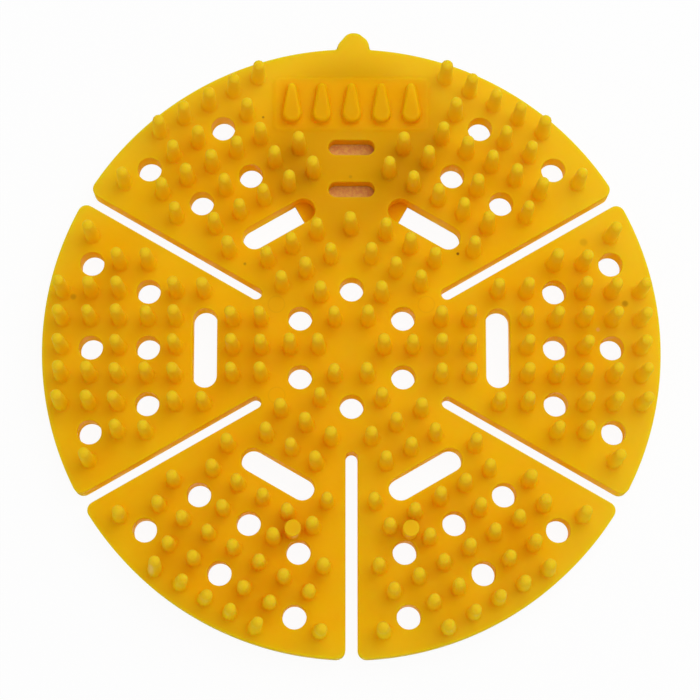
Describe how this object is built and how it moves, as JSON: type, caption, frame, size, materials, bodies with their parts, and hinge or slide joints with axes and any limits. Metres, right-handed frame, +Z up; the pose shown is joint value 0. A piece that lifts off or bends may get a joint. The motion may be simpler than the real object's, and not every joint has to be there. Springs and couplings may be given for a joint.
{
  "type": "urinal deodorizer screen",
  "caption": "Round moulded urinal screen with splash pins, drain holes and slots, radial slits, a lifting tab and a scent tablet held in its underside.",
  "frame": {"origin": "middle of the round mat, on its flat underside", "axes": "+Z up, the way the pins point; +Y towards the lifting tab; +X to the right seen from above"},
  "size_m": [0.18, 0.185, 0.0235],
  "materials": {
    "soft_plastic": "soft translucent moulded plastic, amber, semi-gloss",
    "pressed_scent": "pressed grains, matt"
  },
  "bodies": {
    "root": {"splash_mat": "soft_plastic", "scent_tablet": "pressed_scent"}
  },
  "joints": []
}
